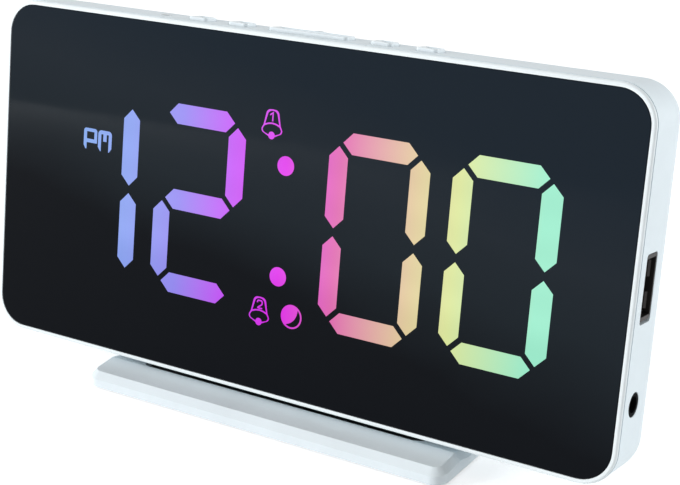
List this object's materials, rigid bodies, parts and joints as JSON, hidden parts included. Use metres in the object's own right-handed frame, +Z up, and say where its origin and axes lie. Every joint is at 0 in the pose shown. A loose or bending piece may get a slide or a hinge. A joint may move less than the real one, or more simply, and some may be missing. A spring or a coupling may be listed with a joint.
{
  "type": "desk clock",
  "caption": "Digital desk clock: a wide mirror-fronted display case with top keys and side sockets, tilting on a low weighted base.",
  "frame": {"origin": "on the table, under the middle of the base", "axes": "+X to the viewer's right along the display, -Y towards the viewer, +Z up"},
  "size_m": [0.1744, 0.056, 0.0916],
  "materials": {
    "white_shell": "fine satin moulding",
    "front_rim": "smooth satin moulding",
    "base_plastic": "fine satin moulding",
    "base_underside": "matt",
    "mirror_lens": "dark half-mirror, glossy",
    "tape": "matt adhesive foam",
    "mask": "matt black",
    "lit_caps": "translucent, lit",
    "dark_caps": "translucent, unlit",
    "led": "moulded lamp package",
    "board": "green solder mask",
    "chips": "moulded package",
    "switches": "moulded housing",
    "key_plastic": "polished moulding",
    "wheel_plastic": "notched moulding",
    "pot": "moulded housing",
    "sensor_window": "smoked window",
    "screw_steel": "zinc plated",
    "usb_steel": "nickel plated",
    "socket_plastic": "moulded insulator",
    "contact_metal": "gold flash",
    "speaker_steel": "zinc plated",
    "cone_paper": "pressed film",
    "cell_steel": "nickel plated",
    "bracket_steel": "blackened sheet steel",
    "hinge_steel": "ground steel",
    "weight_iron": "bare",
    "pad_rubber": "matt non-slip"
  },
  "bodies": {
    "base": {"base_shell": "base_plastic", "base_weight": "weight_iron", "base_cover": "base_underside", "base_pad": "pad_rubber", "bracket_screws": "screw_steel", "cover_screws": "screw_steel", "stand_bracket": "bracket_steel"},
    "case": {"battery_cover": "white_shell", "battery_cover_screw": "screw_steel", "board_parts": "chips", "board_screws": "screw_steel", "case_screws": "screw_steel", "cell_contact": "contact_metal", "coin_cell": "cell_steel", "dark_segments": "dark_caps", "dimmer_pot": "pot", "front_frame": "front_rim", "front_lens": "mirror_lens", "hinge_clips": "hinge_steel", "hinge_pin": "hinge_steel", "hinge_washers": "hinge_steel", "jack_body": "socket_plastic", "jack_pin": "contact_metal", "led_chips": "led", "lens_tape": "tape", "light_sensor": "sensor_window", "lit_segments": "lit_caps", "main_board": "board", "rear_housing": "white_shell", "segment_mask": "mask", "speaker_cone": "cone_paper", "speaker_frame": "speaker_steel", "speaker_magnet": "speaker_steel", "tact_switches": "switches", "usb_contacts": "contact_metal", "usb_shell": "usb_steel", "usb_tongue": "socket_plastic"},
    "alarm_key": {"alarm_button": "key_plastic"},
    "mode_key": {"mode_button": "key_plastic"},
    "snooze_key": {"snooze_bar": "key_plastic"},
    "down_key": {"down_button": "key_plastic"},
    "up_key": {"up_button": "key_plastic"},
    "dimmer": {"dimmer_wheel": "wheel_plastic"}
  },
  "joints": [
    {"name": "case_tilt", "type": "hinge", "parent": "base", "child": "case", "pos_m": [0, -0.0073, 0.013], "axis": [-1, 0, 0], "range_deg": [-4.5, 16.5]},
    {"name": "alarm_press", "type": "slide", "parent": "case", "child": "alarm_key", "axis": [0, -0.1478, -0.989], "range_m": [0, 0.0005], "stiffness_N_per_m": 1000},
    {"name": "mode_press", "type": "slide", "parent": "case", "child": "mode_key", "axis": [0, -0.1478, -0.989], "range_m": [0, 0.0005], "stiffness_N_per_m": 1000},
    {"name": "snooze_press", "type": "slide", "parent": "case", "child": "snooze_key", "axis": [0, -0.1478, -0.989], "range_m": [0, 0.0005], "stiffness_N_per_m": 1000},
    {"name": "down_press", "type": "slide", "parent": "case", "child": "down_key", "axis": [0, -0.1478, -0.989], "range_m": [0, 0.0005], "stiffness_N_per_m": 1000},
    {"name": "up_press", "type": "slide", "parent": "case", "child": "up_key", "axis": [0, -0.1478, -0.989], "range_m": [0, 0.0005], "stiffness_N_per_m": 1000},
    {"name": "dimmer_turn", "type": "hinge", "parent": "case", "child": "dimmer", "pos_m": [-0.0029, 0.00506, 0.08284], "axis": [0, -0.989, 0.1478], "range_deg": [-135, 135]}
  ]
}
